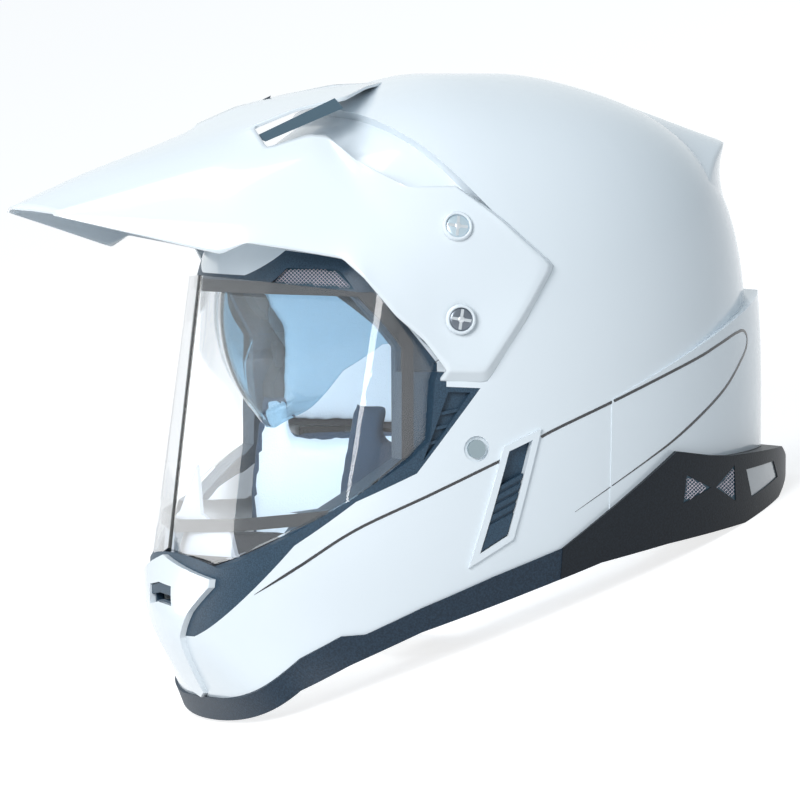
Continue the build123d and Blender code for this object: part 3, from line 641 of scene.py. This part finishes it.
satin_silver = finish_of("satin_silver", (0.62, 0.65, 0.68), 0.28, [("Metallic", 1.0)])
dark_steel = finish_of("dark_steel", (0.16, 0.18, 0.21), 0.3, [("Metallic", 1.0)])
pale_steel = finish_of("pale_steel", (0.50, 0.60, 0.66), 0.3, [("Metallic", 0.6)])
for steel in (satin_silver, dark_steel, pale_steel):
    grain(steel, 2500, 0.00001)
screw("upper_screw", "peak_screws_upper", pale_steel, satin_silver, "screw_silver")
screw("lower_screw", "peak_screws_lower", dark_steel, satin_silver, "screw_dark")


# Strap rivets. A grey plated steel rivet on each side, pressed through the shell and the
# strap's end plate behind it.
rivet_grey = finish_of("rivet_grey", (0.30, 0.37, 0.40), 0.35, [("Metallic", 0.7)])
grain(rivet_grey, 2500, 0.00001)
moulding("strap_rivets", rivet_grey)


# Meshes in the brow vents and the diffuser. A pale plastic net of crossing wires over a dark
# panel, moulded as one insert and clipped in from behind.
NET_PITCH = 1.9
NET_WIRE = 0.0004
NET_LIFT = 0.0002
pale_mesh = finish_of("pale_mesh", (0.78, 0.70, 0.76), 0.4)
grain(pale_mesh, 1500, 0.00005)


def sight_of(place):
    """Where a place shows in the picture, in its pixels."""
    from_eye = place - eye
    depth = -from_eye.dot(toward)
    scale = PICTURE_PIXELS / PICTURE_SIDE * VIEW_AWAY / depth
    half = PICTURE_PIXELS / 2
    return half + from_eye.dot(across) * scale, half - from_eye.dot(upward) * scale


def net_over(node):
    """A net of crossing wires laid over a CAD panel's outer face, on both sides."""
    panel = welded(node)
    tree = BVHTree.FromBMesh(panel)
    spots = [sight_of(Vector((abs(v.co.x), v.co.y, v.co.z))) for v in panel.verts]
    panel.free()
    left, right = min(spot[0] for spot in spots), max(spot[0] for spot in spots)
    top, bottom = min(spot[1] for spot in spots), max(spot[1] for spot in spots)
    net = bmesh.new()
    knots = {}
    for i in range(int((right - left) / NET_PITCH) + 2):
        for k in range(int((bottom - top) / NET_PITCH) + 2):
            hit, normal = tree.ray_cast(eye, sight(left + i * NET_PITCH, top + k * NET_PITCH))[:2]
            if hit is not None and hit.x > 0:
                knots[i, k] = net.verts.new(hit + normal * NET_LIFT)
    for i, k in knots:
        around = [knots.get(place) for place in ((i, k), (i + 1, k + 1), (i, k + 2), (i - 1, k + 1))]
        if (i + k) % 2 == 0 and None not in around:
            net.faces.new(around)
    bmesh.ops.delete(net, geom=[v for v in net.verts if not v.link_faces], context="VERTS")
    mirror_over(net)
    piece = show(net, node + "_net", pale_mesh, frame["nodes"][node]["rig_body"])
    net_wires = piece.modifiers.new("wires", "WIREFRAME")
    net_wires.thickness = NET_WIRE
    net_wires.use_even_offset = False


for node in ("brow_vent_mesh", "diffuser_mesh"):
    moulding(node, vent_black_and_painted_shade)
for node in ("brow_vent_mesh", "diffuser_mesh"):
    net_over(node)


# Diffuser reflectors. Two plain grey lenses of clear-coated acrylic with a fine ripple, glued
# into their seats in the rear diffuser.
grey_reflector = finish_of("grey_reflector", (0.42, 0.45, 0.48), 0.2, [("Coat Weight", 1.0)])
grain(grey_reflector, 900, 0.0001)
moulding("diffuser_reflectors", grey_reflector)


# Lower trim. A black edge of soft moulded plastic that wraps the shell's rim at the front and
# sides, glued on, with a deep moulded grain.
trim_black = finish_of("trim_black", (0.01, 0.026, 0.048), 0.5, [("Specular IOR Level", 0.35)])
mottle(trim_black, grain(trim_black, 1100, 0.00014), (0.004, 0.014, 0.028), (0.014, 0.034, 0.06))
moulding("lower_trim", trim_black)


# Rear diffuser, which the helmet stands on. A black moulding that draws the air out at the
# neck, screwed to the shell's rim, with a shallower grain than the trim's.
diffuser_black = finish_of("diffuser_black", (0.004, 0.008, 0.013), 0.42, [("Specular IOR Level", 0.25)])
mottle(diffuser_black, grain(diffuser_black, 1100, 0.0001), (0.003, 0.006, 0.01), (0.007, 0.012, 0.019))
moulding("rear_diffuser", diffuser_black)


# Breath guard. A thin grey flap of moulded rubber over the nose, which keeps the breath off
# the visor and is pushed into the eye port's lower edge.
guard_grey = finish_of("guard_grey", (0.42, 0.46, 0.52), 0.5)
grain(guard_grey, 1500, 0.00004)
moulding("breath_guard", guard_grey)


# Impact foam, in the crown and in the chin bar. Dark expanded beads fused in a mould, pressed
# into the shell, with the beads showing as soft bumps.
dark_foam = finish_of("dark_foam", (0.03, 0.033, 0.04), 0.85)
grain(dark_foam, 350, 0.0004)
for node in ("chin_foam", "eps_liner"):
    moulding(node, dark_foam)


# Soft pieces: comfort liner, neck roll and cheek pads. Foam cores sewn into a brushed knit,
# pale where it meets the face and navy round the edge, held in by snaps. The thick ones are
# swollen by cloth pressure, and the thin liner is only smoothed.
VOXEL = 0.005
THIN_VOXEL = 0.0035
SMOOTH_TURNS = 4
THIN_SMOOTH_TURNS = 10
PUSH = 4
SWELL_FRAMES = 20
BORDER_TURNS = 14
INWARD_SHARE = 0.3
pale_knit = finish_of("pale_knit", (0.60, 0.72, 0.82), 0.9)
navy_knit = finish_of("navy_knit", (0.012, 0.04, 0.085), 0.9)
for knit in (pale_knit, navy_knit):
    grain(knit, 1300, 0.0003)


def as_modified(piece):
    """A piece's mesh as its modifiers leave it. The modifiers are taken off."""
    evaluated = piece.evaluated_get(bpy.context.evaluated_depsgraph_get())
    data = bpy.data.meshes.new_from_object(evaluated)
    piece.modifiers.clear()
    return data


def even_core(piece, voxel, turns, sunk):
    """Gives a piece an even mesh, smoothed and drawn in to leave room for the swelling."""
    even = piece.modifiers.new("even", "REMESH")
    even.mode = "VOXEL"
    even.voxel_size = voxel
    data = as_modified(piece)
    mesh = bmesh.new()
    mesh.from_mesh(data)
    for turn in range(turns):
        bmesh.ops.smooth_vert(mesh, verts=mesh.verts, factor=0.5, use_axis_x=True, use_axis_y=True,
                              use_axis_z=True)
    mesh.normal_update()
    moves = [vert.normal * -sunk for vert in mesh.verts]
    for vert, move in zip(mesh.verts, moves):
        vert.co += move
    mesh.to_mesh(data)
    mesh.free()
    piece.data = data


def swell(piece, cap):
    """Swells a piece by cloth pressure, by no more than a cap, in metres."""
    start = [vert.co.copy() for vert in piece.data.vertices]
    air = piece.modifiers.new("swell", "CLOTH")
    air.settings.use_pressure = True
    air.settings.uniform_pressure_force = PUSH
    air.settings.effector_weights.gravity = 0
    air.point_cache.frame_start = 1
    air.point_cache.frame_end = SWELL_FRAMES
    for number in range(1, SWELL_FRAMES + 1):
        bpy.context.scene.frame_set(number)
    swollen = as_modified(piece)
    for vert, from_place in zip(swollen.vertices, start):
        move = vert.co - from_place
        if move.length > cap:
            vert.co = from_place + move.normalized() * cap
    piece.data = swollen
    bpy.context.scene.frame_set(1)


def sew(piece, face_knit, edge_knit):
    """Puts one knit on the faces that look towards the head and another on the rest."""
    data = piece.data
    data.materials.clear()
    data.materials.append(face_knit)
    data.materials.append(edge_knit)
    inward = [-vert.normal.x * (1 if vert.co.x > 0 else -1) for vert in data.vertices]
    for turn in range(BORDER_TURNS):
        total, number = list(inward), [1] * len(inward)
        for edge in data.edges:
            a, b = edge.vertices
            total[a] += inward[b]
            total[b] += inward[a]
            number[a] += 1
            number[b] += 1
        inward = [whole / parts for whole, parts in zip(total, number)]
    for face in data.polygons:
        face.use_smooth = True
        looks_in = sum(inward[k] for k in face.vertices) / len(face.vertices) > INWARD_SHARE
        face.material_index = 0 if looks_in else 1


def soft_piece(node, face_knit, edge_knit, voxel=VOXEL, turns=SMOOTH_TURNS, sunk=0.0, cap=0.0):
    """A sewn pad that stands for a CAD one. With a cap, it is swollen by up to that."""
    piece = show(welded(node), node + "_knit", face_knit, frame["nodes"][node]["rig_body"],
                 (node,))
    even_core(piece, voxel, turns, sunk)
    if cap:
        swell(piece, cap)
    sew(piece, face_knit, edge_knit)
    round_off(piece, 1)


soft_piece("comfort_liner", pale_knit, pale_knit, voxel=THIN_VOXEL, turns=THIN_SMOOTH_TURNS)
soft_piece("neck_roll", navy_knit, navy_knit, sunk=0.0015, cap=0.003)
for node in ("cheek_pad_left", "cheek_pad_right"):
    soft_piece(node, pale_knit, navy_knit, sunk=0.0025, cap=0.004)


# Chin straps. Flat woven polyester webbing, 24 mm wide, one on each side, riveted to the
# shell and stitched into the buckle.
black_webbing = finish_of("black_webbing", (0.02, 0.021, 0.024), 0.8)
grain(black_webbing, 1500, 0.0002)
for node in ("chin_strap_left", "chin_strap_right"):
    moulding(node, black_webbing)


# Ratchet buckle. An open box of bent steel, satin plated, with a black moulded lever on its
# pin and a toothed black tongue that slides in from the other strap.
moulding("buckle_base", satin_silver)
for node in ("buckle_lever", "buckle_tongue"):
    moulding(node, textured_black)


# Visor. A clear faceted sheet of polycarbonate, injection moulded and hard coated, which
# turns on the lower screws. Its index is kept low, so that the view through it isn't bent.
CLEAR_SHEET = [("Transmission Weight", 1.0), ("IOR", 1.03), ("Coat Weight", 1.0)]
clear_polycarbonate = finish_of("clear_polycarbonate", (0.97, 0.985, 1.0), 0.0, CLEAR_SHEET)


def let_light_in(finish, passed):
    """Lets a lamp's light through a clear finish, so that what lies behind it is lit."""
    nodes, links = finish.node_tree.nodes, finish.node_tree.links
    rays = nodes.new("ShaderNodeLightPath")
    solid = nodes.new("ShaderNodeMapRange")
    solid.inputs["To Min"].default_value = 1.0
    solid.inputs["To Max"].default_value = 1.0 - passed
    links.new(rays.outputs["Is Shadow Ray"], solid.inputs["Value"])
    links.new(solid.outputs["Result"], shader_of(finish).inputs["Alpha"])


let_light_in(clear_polycarbonate, passed=0.9)
moulding("visor_shield", clear_polycarbonate)


# Sun visor. A thinner curved sheet of the same plastic, tinted blue right through, which
# swings up on its pins into a pocket in the foam.
blue_tint = finish_of("blue_tint", (0.42, 0.61, 0.73), 0.0, CLEAR_SHEET)
let_light_in(blue_tint, passed=0.6)
moulding("sun_visor", blue_tint)
